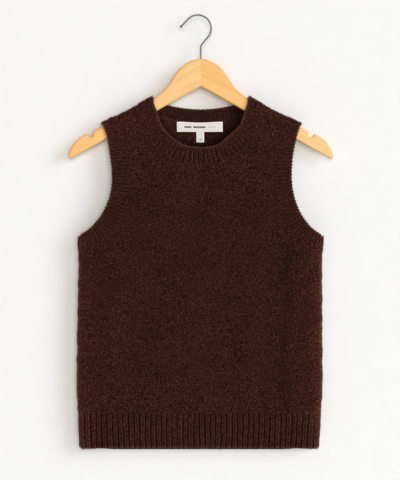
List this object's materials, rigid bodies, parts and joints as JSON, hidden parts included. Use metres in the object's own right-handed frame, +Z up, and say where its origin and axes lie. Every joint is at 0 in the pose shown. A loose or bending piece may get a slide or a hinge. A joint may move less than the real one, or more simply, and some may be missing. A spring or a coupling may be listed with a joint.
{
  "type": "knitted sweater vest on a wooden hanger",
  "caption": "Sleeveless brushed-wool knitted vest with a round neck and ribbed neck, armhole and hem bands, hanging flat on a wooden hanger with a chrome wire hook.",
  "frame": {"origin": "inside top of the hook, where a nail or a rail holds the hanger", "axes": "+Z up, +X towards the right of the picture with the front facing -Y, +Y towards the wall behind the back"},
  "size_m": [0.4456, 0.0292, 0.7352],
  "materials": {
    "knit": "brushed dark brown wool knit, fuzzy, with fine reddish flecks",
    "rib": "ribbed dark brown wool knit, soft and slightly fuzzy",
    "label": "cream woven label, matt",
    "wood": "blond wood, satin lacquer, grain along each arm",
    "hook": "chromed steel wire"
  },
  "bodies": {
    "root": {"front": "knit", "back": "knit", "hem_front": "rib", "hem_back": "rib", "neckband": "rib", "armband_left": "rib", "armband_right": "rib", "label_main": "label", "label_size": "label", "hanger_left": "wood", "hanger_right": "wood", "hook": "hook"}
  },
  "joints": []
}
